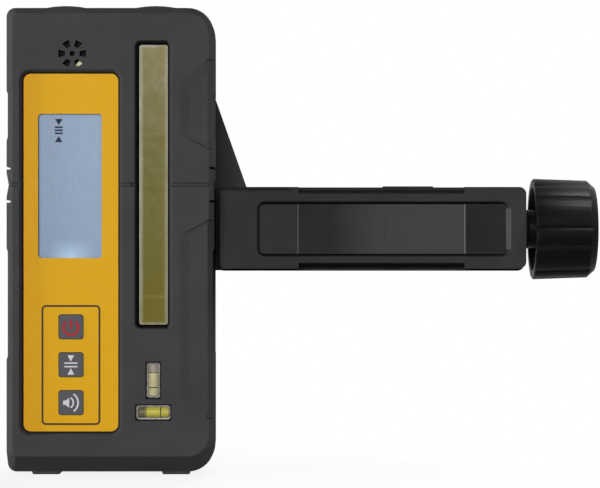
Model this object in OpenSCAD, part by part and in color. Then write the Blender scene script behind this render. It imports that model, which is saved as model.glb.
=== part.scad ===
// Hand-held laser receiver on a sliding-jaw rod clamp, in millimetres.
// The origin is the inner corner of the clamp where a levelling rod seats: X = 0 is the face of the
// fixed jaw, Y = 0 the rear face of the arm and Z = 0 the arm's top edge, just below the on-grade plane.
// +X runs along the arm to its knob, +Y points away from the display and +Z is up.

/* [Case] */
// Width of the receiver case
case_w = 75; // [74:0.2:80]
// Depth of the case, front face to back face
case_d = 36; // [35:0.5:40]
// Height of the case between its flat top and its flat bottom
case_h = 168; // [164:0.5:176]
// Wall of both case shells
wall = 2.6; // [2.4:0.1:3]
// Thickness of the front shell's face
front_wall = 4.2; // [4:0.1:4.6]
// Corner radius on the display side of the case
left_corner_r = 3.2; // [2.8:0.1:5]
// Corner radius on the window side of the case
right_corner_r = 9.5; // [6:0.5:11]
// Width of the front bevel on the display side of the case
left_bevel = 2.5; // [1.6:0.1:3]
// Width of the front bevel on the window side of the case
right_bevel = 1.8; // [1.4:0.1:2.6]
// Height of the bevel along the top of the front face
top_bevel = 2.2; // [1:0.1:2.6]
// Height of the bevel along the bottom of the front face
bottom_bevel = 6.1; // [3:0.1:8]
// How far back the bevel along the bottom reaches
bottom_bevel_d = 6.5; // [4:0.5:8]
// Bevel round the back face
rear_bevel = 3; // [2:0.1:4]
// Height of the feet below the flat bottom
foot_h = 1; // [0.5:0.1:1.5]
// Height of the bumps on the flat top
bump_h = 1.1; // [0.6:0.1:1.6]
// How far the sides are cut back between the bumpers
side_relief = 0.5; // [0.3:0.1:1]

/* [Display and keys] */
// Gap from the side of the case to the overlay
overlay_side_margin = 6.2; // [5.6:0.1:8]
// Gap between the overlay and the receiving lens
overlay_lens_gap = 7.6; // [7:0.1:9]
// Gap from the flat bottom of the case to the overlay
overlay_bottom_margin = 14.9; // [13:0.1:16.5]
// Gap from the overlay to the flat top of the case
overlay_top_margin = 23.8; // [22:0.1:26]
// Thickness of the overlay
overlay_t = 0.8; // [0.6:0.1:1]
// How far the overlay lies below the front face
overlay_sink = 2.4; // [2:0.1:2.4]
// Width of the overlay left of the display opening
display_left_border = 5.2; // [4.8:0.1:7]
// Width of the overlay right of the display opening
display_right_border = 6; // [4.8:0.1:7]
// Gap from the overlay's top edge to the display opening
display_top_margin = 14.5; // [14:0.1:19]
// Side of a square key
key_size = 8.7; // [8:0.1:10]
// Distance between the middles of neighbouring keys
key_pitch = 13.7; // [13:0.1:14.4]
// Height of the middle key above the flat bottom
key_middle_h = 39; // [37.5:0.1:40.5]
// Travel of a key
key_travel = 0.5; // [0.3:0.1:0.8]

/* [Receiving window and vials] */
// Width of the receiving lens
lens_w = 10.3; // [9:0.1:11.4]
// Gap from the lens to the side of the case
lens_side_margin = 16.7; // [16:0.1:19]
// Gap from the flat top of the case to the lens
lens_top_margin = 13.4; // [11.5:0.1:16]
// Gap from the flat bottom of the case to the lens
lens_bottom_margin = 53.5; // [51:0.1:58]
// How far the lens lies below the front face
lens_sink = 2.6; // [2:0.1:3]
// Width of the upright vial
upright_vial_w = 4.7; // [4.2:0.1:5]
// Width of the crosswise vial
cross_vial_w = 5.1; // [4.2:0.1:5.2]
// Length of the upright vial
upright_vial_len = 12.6; // [11:0.1:14]
// Length of the crosswise vial
cross_vial_len = 12.2; // [11:0.1:14]
// Height of the upright vial's middle above the flat bottom
upright_vial_h = 33.5; // [33:0.1:35]
// Height of the crosswise vial's middle above the flat bottom
cross_vial_h = 21.9; // [20.5:0.1:22.2]
// How far the vials lie below the front face
vial_sink = 0.9; // [0.5:0.1:1.2]

/* [Batteries] */
// Diameter of a battery
battery_d = 14.2; // [13.8:0.1:14.5]
// Length of a battery with its positive cap
battery_len = 50.2; // [49:0.1:50.5]
// Thickness of the battery door
door_t = 2.4; // [2:0.1:3]
// Height of the door's hinge above the flat bottom
hinge_h = 16.2; // [16:0.1:18]
// Radius of the hinge barrel on the door
hinge_r = 2.3; // [2.1:0.1:2.6]
// Radius of the hinge pin
hinge_pin_r = 1.2; // [1:0.05:1.4]

/* [Clamp arm and jaws] */
// Length of the arm
arm_len = 112.2; // [110:0.2:124]
// Height of the arm
arm_h = 30.8; // [30:0.1:34]
// Depth of the arm, front to back
arm_d = 18; // [17.5:0.1:22]
// How far the arm's front lies behind the front of the case
arm_setback = 13; // [11:0.5:14]
// Gap between the arm and the side of the case
arm_gap = 1.8; // [0.6:0.1:2.4]
// Width of the fixed jaw behind the arm
fixed_jaw_w = 13.4; // [12:0.1:16]
// Depth of both jaws behind the arm
jaw_depth = 24; // [22:0.5:30]
// Width of the moving jaw along the arm
jaw_w = 19.6; // [17:0.1:21]
// How far the moving jaw stands above the arm
jaw_rise = 0.7; // [0.4:0.1:2]
// Thickness of the rubber pad on each jaw
pad_t = 2; // [1.5:0.1:3]
// Gap between the pads as drawn
jaw_opening = 43; // [41:0.5:45]
// Travel of the moving jaw towards the fixed one
jaw_close_travel = 31; // [24:1:32]
// Travel of the moving jaw towards the knob
jaw_open_travel = 9; // [6:0.5:10]

/* [Spindle and knob] */
// Radius of the spindle's thread
spindle_r = 4.5; // [4:0.1:4.7]
// Radius of the spindle's journal in the end wall
journal_r = 4; // [3.4:0.1:4.2]
// Thickness of the arm's end wall
end_wall = 6; // [5:0.1:7]
// Radius of the knob at its rim
knob_r = 18.7; // [16.5:0.1:20]
// Radius of the knob at its closed end
knob_end_r = 17.9; // [16:0.1:19]
// Length of the knob
knob_len = 22.7; // [18:0.1:25]
// Wall of the knob's hollow rim
knob_wall = 2.4; // [2:0.1:3.2]
// Radius of the hub inside the knob
hub_r = 7; // [6:0.1:8]
// How far the hub stands out of the knob's rim
hub_reach = 1.5; // [1:0.1:4]

/* [Bracket] */
// Height of the case's on-grade plane above the arm's top edge
grade_rise = 0.5; // [0:0.1:2]
// Gap between the bracket and the back of the case
bracket_gap = 0.3; // [0.2:0.1:0.6]
// Thickness of the bracket plate
bracket_t = 6; // [5:0.1:7]
// Height of the bracket's top above the arm's top edge
bracket_rise = 42; // [38:0.5:46]
// Distance of the mounting screw from the middle of the case
mount_offset = 6; // [3:0.5:9]
// Height of the mounting screw above the arm's top edge
mount_rise = 4; // [2:0.5:8]
// Radius of the mounting screw
mount_screw_r = 3.1; // [2.8:0.05:3.3]
// Travel of the mounting screw when it is undone
mount_screw_travel = 6.35; // [6:0.05:6.6]
// Radius of the mounting knob
mount_knob_r = 12; // [10:0.5:14]
// Thickness of the mounting knob
mount_knob_t = 9.5; // [8:0.5:12]

/* [Hidden] */
$fn = 64;

// Clearances: between nested pieces, round moving pieces, in journals, and past the face of every cut
fit = 0.1;
run = 0.3;
journal_gap = 0.05;
overrun = 1;
// Thickness of the slice that a bevel narrows to, and segments round the corners of the bevelled shells
skin = 0.01;
corner_facets = 48;

// Layout of the front face, where the lens fills the height between its margins.
// The on-grade plane is the lens's middle.
lens_h = case_h - lens_top_margin - lens_bottom_margin;
lens_offset = case_w / 2 - lens_side_margin - lens_w / 2;
on_grade_drop = lens_top_margin + lens_h / 2;
overlay_w = case_w - overlay_side_margin - overlay_lens_gap - lens_w - lens_side_margin;
overlay_h = case_h - overlay_bottom_margin - overlay_top_margin;
display_drop = 0.4;
display_w = overlay_w - display_left_border - display_right_border;
display_h = 2 * (on_grade_drop + display_drop - overlay_top_margin - display_top_margin);
display_x = -case_w / 2 + overlay_side_margin + display_left_border + display_w / 2;

// Case: planes of the shells, in the case's own frame, where Y = 0 is the parting plane and Z = 0 the floor
front_y = -case_d / 2;
back_y = case_d / 2;
front_in_y = front_y + front_wall;
back_in_y = back_y - wall;
bottom_z = foot_h;
top_z = foot_h + case_h;
grade_z = top_z - on_grade_drop;
front_bevel_d = 2.5;
rear_bevel_d = 3.2;
rear_inset_share = 0.8;
rear_inset = rear_inset_share * side_relief;
bottom_lift = 3 * bottom_bevel / 4;
bottom_fill = bottom_bevel + 3 * wall / 2;
cavity_inset = wall + side_relief;

// Place of the case beside the clamp
arm_left_x = -pad_t - fixed_jaw_w;
case_x = arm_left_x - arm_gap - case_w / 2;
case_y = -arm_d - arm_setback + case_d / 2;
case_z = grade_rise - grade_z;

// Case: feet, top bumps and side profile, with heights taken from the on-grade plane
foot_w = 10.4;
foot_land_w = 9.6;
foot_offset = 23.6;
foot_depth = case_d - 2 * bottom_bevel_d;
bump_w = 18.4;
bump_offset = 16.3;
bump_r = (bump_w * bump_w / 4 + bump_h * bump_h) / (2 * bump_h);
relief_slope = 1.3;
upper_relief = [16, 34.1];
lower_relief = [-63.2, -22.9];
grade_notch_half_h = 4.3;
grade_notch_depth = 0.9;
mark_notch_h = 0.9;
mark_notch_depth = 1.6;
mark_notch_rise = 6;
grade_groove_h = 1.5;
grade_groove_depth = 0.7;
// Finger reliefs beside the window, on both sides of the on-grade wedge, which slope down from their inner
// edge and fade out at their far ends
grip_start = 9.7;
grip_slope_w = 3.2;
grip_depth = 0.6;
grip_fade = 5;
grip_bevel_setback = 0.9;
wedge_inner_half = 18;
wedge_outer_half = 12.7;
grip_top_margin = 18.8;
grip_bottom_margin = 19.6;
grip_end_skew = 8;
grip_upper_end = on_grade_drop - grip_top_margin;
grip_lower_end = case_h - on_grade_drop - grip_bottom_margin;

// Case screws and the main board's screws
case_screw_r = 1.45;
case_screw_head_r = 2.8;
case_screw_head_t = 2;
case_screw_len = 22;
case_boss_r = 3.5;
case_screw_inset = 9;
counterbore_depth = 3;
screw_slot_w = 0.8;
screw_slot_depth = 0.7;
board_screw_r = 1.1;
board_screw_head_r = 2.2;
board_screw_head_t = 1.4;
board_screw_len = 6;
board_boss_r = 2.6;
board_screw_inset = 3;

// Seal between the shells
seal_w = 1.2;
seal_t = 1.2;
seal_inset = 0.7;

// Overlay, display and sounder
overlay_x = -case_w / 2 + overlay_side_margin + overlay_w / 2;
overlay_z = bottom_z + overlay_bottom_margin + overlay_h / 2;
overlay_r = 2.6;
overlay_bevel = 1.4;
pocket_depth = overlay_t + overlay_sink;
display_r = 1.2;
display_z = grade_z - display_drop;
lcd_border = 1.7;
lcd_t = 2.8;
backlight_t = 2.4;
sounder_r = 8;
sounder_t = 3.6;
sounder_port_r = 1.5;
sounder_port_depth = 1.2;
membrane_t = 0.3;
sounder_drop = 16.7;
sounder_offset = 0.7;
sounder_x = overlay_x + sounder_offset;
sounder_z = top_z - sounder_drop;
sounder_hole_r = 1.1;
sounder_ring_r = 3.8;
sounder_slot_inner_w = 1.6;
sounder_slot_outer_w = 2.7;
sounder_slot_len = 2.4;
sounder_slots = 6;

// Keys, switches and the main board
key_r = 1.1;
key_proud = 0.3;
key_gap = 0.2;
key_flange = 1;
key_flange_t = 1;
key_front_y = front_y + overlay_sink - key_proud;
key_flange_y = front_in_y + fit;
switch_size = 6;
switch_body_t = 3;
plunger_r = 1.7;
switch_slack = 0.15;
board_standoff = 6;
board_t = 1.6;
board_border = 1.8;
board_w = overlay_w + 2 * board_border;
board_h = overlay_h + 2 * board_border;
board_y = front_in_y + board_standoff;
board_back_y = board_y + board_t;

// Receiving window and what lies behind it
lens_r = 0.9;
lens_flange = 1.5;
lens_flange_t = 1.5;
window_bevel = 1.6;
guide_inset = 1.2;
guide_end_inset = 8;
guide_t = 3;
guide_y = front_in_y + lens_flange_t;
diode_count = 9;
diode_w = 4.2;
diode_h = 5.4;
diode_t = 1.2;
diode_y = guide_y + guide_t;
detector_t = 1.2;
detector_w = lens_w + lens_flange;
detector_y = diode_y + diode_t;

// Vials and their carrier
vial_r = 0.9;
vial_seat = 0.9;
vial_back_y = front_in_y + vial_seat;
carrier_border = 2;
carrier_t = 5;
upright_vial_z = bottom_z + upright_vial_h;
cross_vial_z = bottom_z + cross_vial_h;

// Battery bay, door and hinge
bay_gap = 0.4;
contact_space = 3.2;
contact_t = 0.5;
contact_w = 9;
contact_boss_r = 3;
battery_cap_r = 2.75;
battery_cap_len = 1;
bay_wall = 1.5;
bay_w = battery_len + 2 * contact_space;
bay_h = 2 * battery_d + 3 * bay_gap;
bay_d = battery_d + 2 * bay_gap;
door_gap = 0.5;
door_lap = 3.8;
door_r = 2;
door_w = bay_w + 2 * door_lap;
hinge_z = bottom_z + hinge_h;
hinge_y = back_y - hinge_r - 2 * fit;
hinge_gap = 0.4;
barrel_len = 40;
ear_len = 4;
hinge_pin_half = barrel_len / 2 + run + ear_len;
bay_bottom_z = hinge_z + hinge_r + door_lap;
bay_top_z = bay_bottom_z + bay_h;
door_bottom_z = hinge_z + hinge_r + hinge_gap;
door_top_z = bay_top_z + door_lap;
rebate_bottom_z = hinge_z - hinge_r - 2 * run;
rebate_y = back_y - door_t - door_gap;
bay_floor_y = rebate_y - bay_d;
door_frame_t = 2;
door_seal_w = 1.4;
door_seal_t = 0.9;
door_seal_groove = 0.5;
door_seal_inset = 1.2;
door_seal_y = back_y - door_t + door_seal_groove;
nail_notch_w = 16;
nail_notch_h = 3;
nail_notch_depth = 1.6;

// Mount on the back of the case
insert_r = 4.5;
insert_len = 9;
insert_boss_r = 7;
insert_floor = 1.2;
peg_r = 2.4;
peg_len = 1.5;
peg_spread = 18;
mount_x = case_x + mount_offset;
mount_z = mount_rise;
mount_case_z = mount_rise - case_z;

// Arm: front recess, cover, channel and slot
arm_corner_r = 2.6;
arm_lip = 0.9;
arm_lip_depth = 10;
arm_axis_z = -arm_h / 2;
arm_right_x = arm_left_x + arm_len;
jaw_x = jaw_opening + pad_t;
jaw_left_limit_x = jaw_x - jaw_close_travel;
jaw_right_limit_x = jaw_x + jaw_w + jaw_open_travel;
recess_t = 2.7;
recess_slope = 1;
recess_border = 6.2;
recess_r = 2;
recess_left_inset = 14.5;
recess_left_x = arm_left_x + recess_left_inset;
recess_right_x = arm_right_x - end_wall - recess_slope;
recess_mid_x = (recess_left_x + recess_right_x) / 2;
recess_h = arm_h - 2 * recess_border;
cover_in = 0.9;
cover_proud = 0.5;
cover_edge = 0.4;
cover_front_y = -arm_d + recess_t - cover_proud;
cover_back_y = -arm_d + recess_t + cover_in;
cover_ledge = 2.4;
front_ledge_t = 0.6;
rear_wall = 3;
channel_border = 5;
channel_front_y = cover_back_y + front_ledge_t;
channel_half_h = arm_h / 2 - channel_border;
channel_left_x = jaw_left_limit_x - 2 * run;
channel_right_x = arm_right_x - end_wall;
slot_right_x = jaw_right_limit_x + 2 * run;
slot_half_h = 5.5;
cover_margin = 0.6;
cover_left_x = channel_left_x - cover_margin;
cover_right_x = slot_right_x + cover_margin;
edge_chamfer_h = 2;
edge_chamfer_depth = 7;
pad_groove_w = 1.2;
pad_groove_depth = 0.6;
pad_grooves = 5;
jaw_toe_w = 10;
jaw_heel_depth = 9;
jaw_corner = 1.6;

// Spindle, bush and knob
axis_y = (channel_front_y - rear_wall) / 2;
end_journal_r = 3;
end_journal_len = 7;
bush_r = 6;
bush_flange_r = 7.2;
bush_flange_t = 1.2;
hub_face_x = arm_right_x + bush_flange_t + run;
knob_left_x = hub_face_x + hub_reach;
knob_right_x = knob_left_x + knob_len;
knob_cap_t = 3.4;
knob_lobes = 6;
knob_lobe_depth = 0.9;
wide_lobe_share = 0.66;
narrow_lobe_depth_share = 0.8;
lobe_steps = 9;
knob_roll = 50;
knob_edge = 1.2;
knob_pin_r = 1.5;
spindle_socket = 2;
spindle_end_x = knob_right_x - knob_cap_t + spindle_socket;
knob_pin_x = (hub_face_x + knob_right_x - knob_cap_t) / 2;

// Bracket and mounting screw
bracket_y = case_y + back_y + bracket_gap;
bracket_reach = 18;
bracket_left_x = mount_x - bracket_reach;
bracket_corner = 6;
gusset_foot_reach = 9.3;
gusset_top_setback = 5.5;
gusset_foot_x = arm_left_x + gusset_foot_reach;
gusset_top_x = arm_left_x - gusset_top_setback;
mount_boss_r = 11;
mount_boss_floor = 3;
clip_r = 5.2;
clip_t = 1.2;
clip_pocket_r = 5.8;
clip_pocket_depth = clip_t + mount_screw_travel + 2 * run;
mount_seat_y = bracket_y + clip_pocket_depth + mount_boss_floor;
mount_screw_tip_y = bracket_y - bracket_gap + run - mount_screw_travel;
mount_lobes = 4;
mount_lobe_depth = 0.8;
mount_knob_floor = 3;

case_colour = [0.27, 0.27, 0.275];
black_plastic = [0.19, 0.19, 0.19];
knob_black = [0.15, 0.15, 0.15];
overlay_yellow = [0.84, 0.63, 0.17];
key_grey = [0.33, 0.33, 0.34];
rubber_black = [0.12, 0.12, 0.12];
board_green = [0.1, 0.35, 0.2];
steel = [0.72, 0.73, 0.75];
brass = [0.78, 0.62, 0.3];
spindle_grey = [0.36, 0.36, 0.37];

// Places that several pieces share
function corner_points(left, right, low, high) = [for (x = [left, right], z = [low, high]) [x, z]];
function case_screw_points() = corner_points(
    -case_w / 2 + case_screw_inset, case_w / 2 - case_screw_inset,
    bottom_z + case_screw_inset, top_z - case_screw_inset);
function board_screw_points() = corner_points(
    overlay_x - board_w / 2 + board_screw_inset, overlay_x + board_w / 2 - board_screw_inset,
    overlay_z - board_h / 2 + board_screw_inset, overlay_z + board_h / 2 - board_screw_inset);
function key_z(place) = bottom_z + key_middle_h + place * key_pitch;
function battery_z(place) = bay_bottom_z + bay_gap + battery_d / 2 + place * (battery_d + bay_gap);
function diode_z(place) = grade_z + (place - (diode_count - 1) / 2) * lens_h / diode_count;
function peg_places() = [mount_z - peg_spread, mount_z + peg_spread];

// Radius of a lobed knob's outline, which alternates wide and narrow lobes that meet in shallow valleys
function lobe_bulge(t) = sqrt(max(0, 1 - pow(2 * t - 1, 2)));
function lobe_points(r, lobes, depth) = [
    for (lobe = [0 : lobes - 1], kind = [0, 1], step = [0 : lobe_steps - 1])
        let (
            span = kind == 0 ? wide_lobe_share : 1 - wide_lobe_share,
            start = kind == 0 ? 0 : wide_lobe_share,
            t = step / lobe_steps,
            angle = (lobe + start + t * span) * 360 / lobes,
            depth_share = kind == 0 ? 1 : narrow_lobe_depth_share,
            radius = r - depth * depth_share * (1 - lobe_bulge(t))
        ) [radius * cos(angle), radius * sin(angle)]
];

// Basic placements: an outline drawn in X and Z and thickened from y0 to y1, and one drawn in Y and Z
module slab(y0, y1) translate([0, y1, 0]) rotate([90, 0, 0]) linear_extrude(height = y1 - y0) children();
module bar(x0, x1) translate([x0, 0, 0]) rotate([90, 0, 90]) linear_extrude(height = x1 - x0) children();
module rod_x(x0, x1, r) translate([x0, 0, 0]) rotate([0, 90, 0]) cylinder(h = x1 - x0, r = r);
module rod_y(y0, y1, r) translate([0, y0, 0]) rotate([-90, 0, 0]) cylinder(h = y1 - y0, r = r);
module at_xz(x, z) translate([x, 0, z]) children();
module in_case() translate([case_x, case_y, case_z]) children();
module on_axis() translate([0, axis_y, arm_axis_z]) children();
module at_mount() translate([mount_x, 0, mount_z]) children();

module rounded_rect(w, h, r) {
    square([w - 2 * r, h], center = true);
    square([w, h - 2 * r], center = true);
    for (sx = [-1, 1], sz = [-1, 1])
        translate([sx * (w / 2 - r), sz * (h / 2 - r)]) circle(r);
}

// Outline with one radius on its left corners and another on its right ones
module sided_rect(left, right, low, high, rl, rr) {
    translate([left + rl, low]) square([right - left - rl - rr, high - low]);
    translate([left, low + rl]) square([rl, high - low - 2 * rl]);
    translate([right - rr, low + rr]) square([rr, high - low - 2 * rr]);
    for (z = [low + rl, high - rl]) translate([left + rl, z]) circle(rl);
    for (z = [low + rr, high - rr]) translate([right - rr, z]) circle(rr);
}

module case_outline(inset, lift = 0) sided_rect(
    -case_w / 2 + inset, case_w / 2 - inset, bottom_z + inset + lift, top_z - inset,
    left_corner_r > inset ? left_corner_r - inset / 2 : left_corner_r / 2, right_corner_r - inset / 2);

module front_face_outline() sided_rect(
    -case_w / 2 + left_bevel, case_w / 2 - right_bevel, bottom_z + bottom_bevel, top_z - top_bevel,
    left_corner_r / 2, right_corner_r - right_bevel);

// Case shells: outer forms and the cuts that both share
module front_form() hull() {
    slab(front_y, front_y + skin) front_face_outline($fn = corner_facets);
    slab(front_y + front_bevel_d, front_y + bottom_bevel_d) case_outline(0, bottom_lift, $fn = corner_facets);
    slab(front_y + bottom_bevel_d, 0) case_outline(0, $fn = corner_facets);
}

module rear_form() hull() {
    slab(0, back_y - rear_bevel_d) case_outline(rear_inset, $fn = corner_facets);
    slab(back_y - skin, back_y) case_outline(rear_inset + rear_bevel, $fn = corner_facets);
}

// Hollow of the front shell, whose wall follows the bottom bevel
module front_cavity() difference() {
    slab(front_in_y, overrun) case_outline(cavity_inset);
    bar(-case_w / 2, case_w / 2) polygon([
        [front_y, bottom_z], [front_y, bottom_z + bottom_fill],
        [front_y + bottom_fill * bottom_bevel_d / bottom_bevel, bottom_z]
    ]);
}

module bump_outline() intersection() {
    translate([0, bump_h - bump_r]) circle(bump_r);
    translate([-bump_w / 2, -foot_h]) square([bump_w, foot_h + bump_h]);
}

module foot_outline() polygon([
    [-foot_w / 2, foot_h], [-foot_land_w / 2, 0], [foot_land_w / 2, 0], [foot_w / 2, foot_h],
    [foot_w / 2, foot_h + wall / 2], [-foot_w / 2, foot_h + wall / 2]
]);

// Feet and top bumps from y0 to y1
module bumpers(y0, y1) for (side = [-1, 1]) {
    at_xz(side * foot_offset, 0) slab(y0, y1) foot_outline();
    at_xz(side * bump_offset, top_z) slab(y0, y1) bump_outline();
}

module side_relief_outline(zone) polygon([
    [case_w / 2 + overrun, zone[0]], [case_w / 2 + overrun, zone[1]], [case_w / 2, zone[1]],
    [case_w / 2 - side_relief, zone[1] - relief_slope], [case_w / 2 - side_relief, zone[0] + relief_slope],
    [case_w / 2, zone[0]]
]);

module side_marks_outline() {
    polygon([
        [case_w / 2 + overrun, -grade_notch_half_h], [case_w / 2, -grade_notch_half_h],
        [case_w / 2 - grade_notch_depth, 0], [case_w / 2, grade_notch_half_h],
        [case_w / 2 + overrun, grade_notch_half_h]
    ]);
    for (rise = [-mark_notch_rise, mark_notch_rise])
        translate([case_w / 2 - mark_notch_depth, rise - mark_notch_h / 2])
            square([mark_notch_depth + overrun, mark_notch_h]);
}

module side_cuts() for (side = [0, 1]) mirror([side, 0, 0]) at_xz(0, grade_z)
    slab(front_y - overrun, back_y + overrun) {
        side_relief_outline(upper_relief);
        side_relief_outline(lower_relief);
        side_marks_outline();
    }

// Outline of a finger relief above the on-grade plane, drawn in at its inner edge and at its far end
module grip_outline(far_end, inset, fade) {
    x0 = lens_offset + grip_start;
    x1 = case_w / 2 - right_bevel;
    inset_share = inset / (x1 - x0);
    polygon([
        [x0 + inset, wedge_inner_half + (wedge_outer_half - wedge_inner_half) * inset_share],
        [x1, wedge_outer_half], [x1, far_end - fade], [x0 + inset, far_end - grip_end_skew - fade]
    ]);
}

// Finger relief up to far_end, with the bevel beside it cut back to follow it
module grip_relief(far_end) {
    hull() {
        slab(front_y - skin, front_y) grip_outline(far_end, 0, 0);
        slab(front_y + grip_depth - skin, front_y + grip_depth)
            grip_outline(far_end, grip_slope_w, grip_fade);
    }
    edge_x = case_w / 2 - right_bevel - grip_bevel_setback;
    out_x = case_w / 2 + overrun;
    translate([0, 0, wedge_outer_half]) linear_extrude(height = far_end - wedge_outer_half) polygon([
        [edge_x, front_y - overrun], [edge_x, front_y],
        [out_x, front_y + (out_x - edge_x) * front_bevel_d / right_bevel], [out_x, front_y - overrun]
    ]);
}

// Bevelled mouth of a pocket in the front face, which narrows to w by h at the given depth
module pocket_bevel(w, h, r, bevel, depth) hull() {
    slab(front_y - skin, front_y)
        rounded_rect(w + 2 * bevel, h + 2 * bevel, r + bevel, $fn = corner_facets);
    slab(front_y + depth - skin, front_y + depth) rounded_rect(w, h, r, $fn = corner_facets);
}

module sounder_openings() {
    circle(sounder_hole_r, $fn = 6);
    for (step = [0 : sounder_slots - 1]) rotate(step * 360 / sounder_slots)
        translate([sounder_ring_r, 0]) polygon([
            [-sounder_slot_len / 2, -sounder_slot_inner_w / 2],
            [sounder_slot_len / 2, -sounder_slot_outer_w / 2],
            [sounder_slot_len / 2, sounder_slot_outer_w / 2],
            [-sounder_slot_len / 2, sounder_slot_inner_w / 2]
        ]);
}

// Every opening through the front wall
module front_openings() {
    at_xz(display_x, display_z) slab(front_y - overrun, front_in_y + overrun)
        rounded_rect(display_w, display_h, display_r);
    for (place = [-1 : 1]) at_xz(overlay_x, key_z(place)) slab(front_y - overrun, front_in_y + overrun)
        rounded_rect(key_size + 2 * key_gap, key_size + 2 * key_gap, key_r);
    at_xz(sounder_x, sounder_z) slab(front_y - overrun, front_in_y + overrun) sounder_openings();
    at_xz(lens_offset, grade_z) slab(front_y - overrun, front_in_y + overrun)
        rounded_rect(lens_w + 2 * fit, lens_h + 2 * fit, lens_r);
    slab(front_y - overrun, front_in_y + overrun) {
        upright_vial_outline(fit);
        cross_vial_outline(fit);
    }
}

module front_housing() color(case_colour) in_case() difference() {
    union() {
        difference() {
            union() {
                front_form();
                bumpers(-foot_depth / 2, 0);
            }
            front_cavity();
        }
        for (p = case_screw_points()) at_xz(p[0], p[1]) rod_y(front_in_y - wall / 2, 0, case_boss_r);
        for (p = board_screw_points()) at_xz(p[0], p[1])
            rod_y(front_in_y - wall / 2, board_y, board_boss_r);
    }
    side_cuts();
    at_xz(0, grade_z) {
        grip_relief(grip_upper_end);
        mirror([0, 0, 1]) grip_relief(grip_lower_end);
    }
    at_xz(0, grade_z) slab(front_y - overrun, front_y + grade_groove_depth)
        square([case_w - 2 * right_bevel, grade_groove_h], center = true);
    at_xz(overlay_x, overlay_z) {
        slab(front_y - overrun, front_y + pocket_depth)
            rounded_rect(overlay_w + 2 * fit, overlay_h + 2 * fit, overlay_r);
        pocket_bevel(overlay_w + 2 * fit, overlay_h + 2 * fit, overlay_r, overlay_bevel, overlay_sink);
    }
    at_xz(lens_offset, grade_z)
        pocket_bevel(lens_w + 2 * fit, lens_h + 2 * fit, lens_r, window_bevel, lens_sink);
    front_openings();
    for (p = case_screw_points()) at_xz(p[0], p[1])
        rod_y(back_y - counterbore_depth - case_screw_len - fit, overrun, case_screw_r + journal_gap);
    for (p = board_screw_points()) at_xz(p[0], p[1])
        rod_y(board_back_y - board_screw_len - fit, board_y + overrun, board_screw_r + journal_gap);
}

// Solid backing inside the rear shell: battery bay, door frame, hinge block and bosses
module rear_backing() {
    translate([-bay_w / 2 - bay_wall, bay_floor_y - bay_wall, bay_bottom_z - bay_wall])
        cube([bay_w + 2 * bay_wall, back_in_y - bay_floor_y + 2 * bay_wall, bay_h + 2 * bay_wall]);
    translate([-door_w / 2 - bay_wall, rebate_y - door_frame_t, rebate_bottom_z - bay_wall])
        cube([door_w + 2 * bay_wall, door_frame_t + bay_wall, door_top_z + 2 * bay_wall - rebate_bottom_z]);
    translate([-barrel_len / 2 - 2 * ear_len, hinge_y - 2 * hinge_r, rebate_bottom_z - bay_wall])
        cube([barrel_len + 4 * ear_len, 2 * hinge_r, 2 * hinge_r + 2 * bay_wall]);
    for (p = case_screw_points()) at_xz(p[0], p[1]) rod_y(0, back_y - wall / 2, case_boss_r);
    at_xz(mount_offset, mount_case_z)
        rod_y(back_y - insert_len - fit - insert_floor, back_y - wall / 2, insert_boss_r);
}

module door_outline(grow) translate([0, (door_bottom_z + door_top_z) / 2])
    rounded_rect(door_w + 2 * grow, door_top_z - door_bottom_z + 2 * grow, door_r + grow);

module rear_cuts() {
    translate([-bay_w / 2, bay_floor_y, bay_bottom_z])
        cube([bay_w, bay_d + door_t + door_gap + overrun, bay_h]);
    slab(rebate_y, back_y + overrun) {
        door_outline(run);
        translate([-door_w / 2 - run, rebate_bottom_z])
            square([door_w + 2 * run, door_top_z - rebate_bottom_z - door_r]);
    }
    translate([0, hinge_y, hinge_z])
        rod_x(-barrel_len / 2 - run, barrel_len / 2 + run, hinge_r + hinge_gap);
    translate([-nail_notch_w / 2, back_y - nail_notch_depth, door_top_z - run])
        cube([nail_notch_w, nail_notch_depth + overrun, nail_notch_h]);
    for (p = case_screw_points()) at_xz(p[0], p[1]) {
        rod_y(-overrun, back_y, case_screw_r + fit);
        rod_y(back_y - counterbore_depth, back_y + overrun, case_screw_head_r + 2 * fit);
    }
    at_xz(mount_offset, mount_case_z) {
        rod_y(back_y - insert_len - fit, back_y + overrun, insert_r + journal_gap);
        for (place = [-peg_spread, peg_spread])
            at_xz(0, place) rod_y(back_y - peg_len - fit, back_y + overrun, peg_r + fit);
    }
    slab(-overrun, seal_t) difference() {
        case_outline(cavity_inset - seal_inset - seal_w);
        case_outline(cavity_inset - seal_inset);
    }
}

module hinge_ears() for (side = [0, 1]) mirror([side, 0, 0]) difference() {
    union() {
        translate([0, hinge_y, hinge_z])
            rod_x(barrel_len / 2 + run, barrel_len / 2 + run + ear_len, hinge_r);
        translate([barrel_len / 2 + run, rebate_y - door_frame_t, hinge_z - hinge_r])
            cube([ear_len, hinge_y - rebate_y + door_frame_t, 2 * hinge_r]);
    }
    translate([0, hinge_y, hinge_z]) rod_x(0, barrel_len, hinge_pin_r + journal_gap);
}

module rear_housing() color(case_colour) in_case() {
    difference() {
        union() {
            difference() {
                union() {
                    rear_form();
                    bumpers(0, foot_depth / 2);
                }
                slab(-overrun, back_in_y) case_outline(cavity_inset);
            }
            rear_backing();
        }
        side_cuts();
        rear_cuts();
        translate([0, hinge_y, hinge_z])
            rod_x(-hinge_pin_half, hinge_pin_half, hinge_pin_r + journal_gap);
    }
    hinge_ears();
}

module housing_seal() color(rubber_black) in_case() slab(0, seal_t - fit) difference() {
    case_outline(cavity_inset - seal_inset - seal_w + fit);
    case_outline(cavity_inset - seal_inset - fit);
}

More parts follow.
